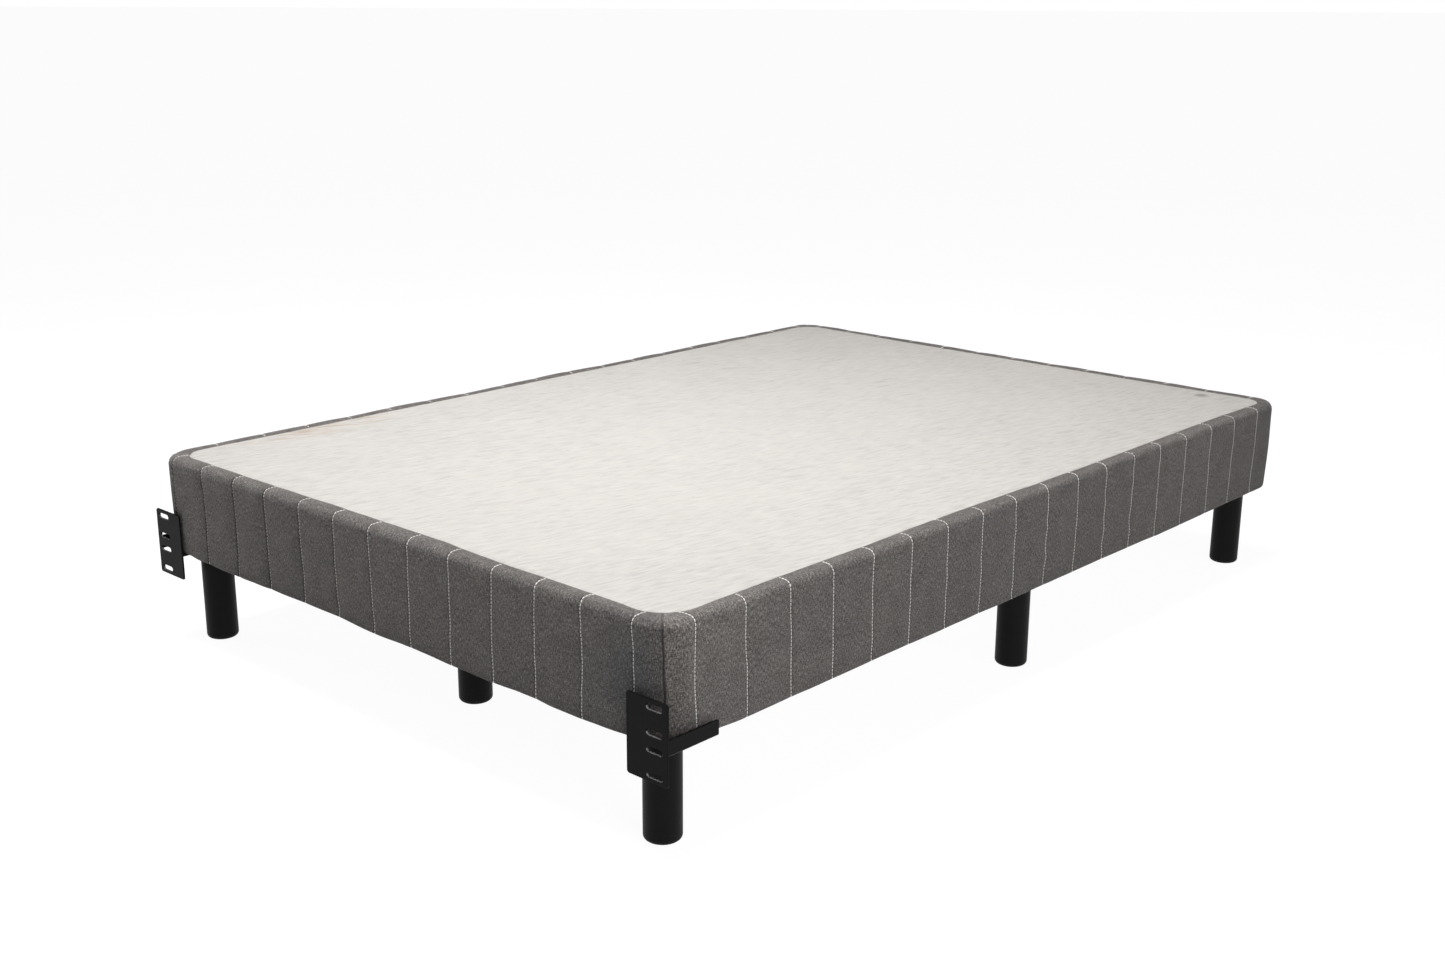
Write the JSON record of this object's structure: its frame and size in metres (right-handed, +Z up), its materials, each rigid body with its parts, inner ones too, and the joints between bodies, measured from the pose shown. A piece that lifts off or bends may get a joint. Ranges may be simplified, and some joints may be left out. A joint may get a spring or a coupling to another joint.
{
  "type": "upholstered bed base",
  "caption": "Low upholstered platform bed base: timber frame under grey striped border cloth, pale top cloth, round screw-in legs and two slotted headboard brackets.",
  "frame": {"origin": "on the floor under the middle of the base, at the middle of the centre middle leg's foot", "axes": "+Z up; +Y from the head end, where the headboard brackets are, to the foot end; +X to the right when looking along +Y"},
  "size_m": [1.373, 1.9155, 0.367],
  "materials": {
    "border_fabric": "warm mid-grey melange weave with off-white stitched pinstripes 102 mm apart",
    "top_cloth": "off-white nonwoven, matt, with fine crinkles",
    "felt": "recycled fibre insulator pad",
    "dust_cloth": "black spunbond nonwoven, matt",
    "fibreboard": "plain brown fibreboard",
    "timber": "planed softwood, unfinished",
    "black_steel": "satin black powder coat",
    "leg_plastic": "satin black moulded plastic",
    "glide_rubber": "dull black rubber",
    "zinc_steel": "zinc plated"
  },
  "bodies": {
    "foundation": {"border_foot": "border_fabric", "border_head": "border_fabric", "border_left": "border_fabric", "border_right": "border_fabric", "bottom_centre_board": "timber", "bottom_end_board_foot": "timber", "bottom_end_board_head": "timber", "bottom_side_board_left": "timber", "bottom_side_board_right": "timber", "bracket_bolts": "zinc_steel", "bracket_inserts": "zinc_steel", "bracket_washers": "zinc_steel", "centre_joists": "timber", "corner_posts": "timber", "cross_braces": "timber", "deck_board": "fibreboard", "dust_cover": "dust_cloth", "end_board_foot": "timber", "end_board_head": "timber", "felt_pad": "felt", "frame_screws": "zinc_steel", "leg_blocks": "timber", "leg_inserts": "zinc_steel", "leg_washers": "zinc_steel", "side_board_left": "timber", "side_board_right": "timber", "top_cloth": "top_cloth", "top_slats": "timber"},
    "bracket_left": {"bracket_arm_left": "black_steel", "headboard_plate_left": "black_steel"},
    "bracket_right": {"bracket_arm_right": "black_steel", "headboard_plate_right": "black_steel"},
    "leg_centre_foot": {"leg_glide_centre_foot": "glide_rubber", "leg_shell_centre_foot": "leg_plastic", "leg_stud_centre_foot": "zinc_steel"},
    "leg_centre_head": {"leg_glide_centre_head": "glide_rubber", "leg_shell_centre_head": "leg_plastic", "leg_stud_centre_head": "zinc_steel"},
    "leg_centre_mid": {"leg_glide_centre_mid": "glide_rubber", "leg_shell_centre_mid": "leg_plastic", "leg_stud_centre_mid": "zinc_steel"},
    "leg_foot_left": {"leg_glide_foot_left": "glide_rubber", "leg_shell_foot_left": "leg_plastic", "leg_stud_foot_left": "zinc_steel"},
    "leg_foot_right": {"leg_glide_foot_right": "glide_rubber", "leg_shell_foot_right": "leg_plastic", "leg_stud_foot_right": "zinc_steel"},
    "leg_head_left": {"leg_glide_head_left": "glide_rubber", "leg_shell_head_left": "leg_plastic", "leg_stud_head_left": "zinc_steel"},
    "leg_head_right": {"leg_glide_head_right": "glide_rubber", "leg_shell_head_right": "leg_plastic", "leg_stud_head_right": "zinc_steel"},
    "leg_mid_left": {"leg_glide_mid_left": "glide_rubber", "leg_shell_mid_left": "leg_plastic", "leg_stud_mid_left": "zinc_steel"},
    "leg_mid_right": {"leg_glide_mid_right": "glide_rubber", "leg_shell_mid_right": "leg_plastic", "leg_stud_mid_right": "zinc_steel"}
  },
  "joints": [
    {"name": "leg_head_left_unscrew", "type": "slide", "parent": "foundation", "child": "leg_head_left", "axis": [0, 0, -1], "range_m": [0, 0.035]},
    {"name": "leg_head_right_unscrew", "type": "slide", "parent": "foundation", "child": "leg_head_right", "axis": [0, 0, -1], "range_m": [0, 0.035]},
    {"name": "leg_mid_left_unscrew", "type": "slide", "parent": "foundation", "child": "leg_mid_left", "axis": [0, 0, -1], "range_m": [0, 0.035]},
    {"name": "leg_mid_right_unscrew", "type": "slide", "parent": "foundation", "child": "leg_mid_right", "axis": [0, 0, -1], "range_m": [0, 0.035]},
    {"name": "leg_foot_left_unscrew", "type": "slide", "parent": "foundation", "child": "leg_foot_left", "axis": [0, 0, -1], "range_m": [0, 0.035]},
    {"name": "leg_foot_right_unscrew", "type": "slide", "parent": "foundation", "child": "leg_foot_right", "axis": [0, 0, -1], "range_m": [0, 0.035]},
    {"name": "leg_centre_head_unscrew", "type": "slide", "parent": "foundation", "child": "leg_centre_head", "axis": [0, 0, -1], "range_m": [0, 0.035]},
    {"name": "leg_centre_mid_unscrew", "type": "slide", "parent": "foundation", "child": "leg_centre_mid", "axis": [0, 0, -1], "range_m": [0, 0.035]},
    {"name": "leg_centre_foot_unscrew", "type": "slide", "parent": "foundation", "child": "leg_centre_foot", "axis": [0, 0, -1], "range_m": [0, 0.035]},
    {"name": "bracket_left_slide", "type": "slide", "parent": "foundation", "child": "bracket_left", "axis": [0, -1, 0], "range_m": [0, 0.02]},
    {"name": "bracket_right_slide", "type": "slide", "parent": "foundation", "child": "bracket_right", "axis": [0, -1, 0], "range_m": [0, 0.02]}
  ]
}
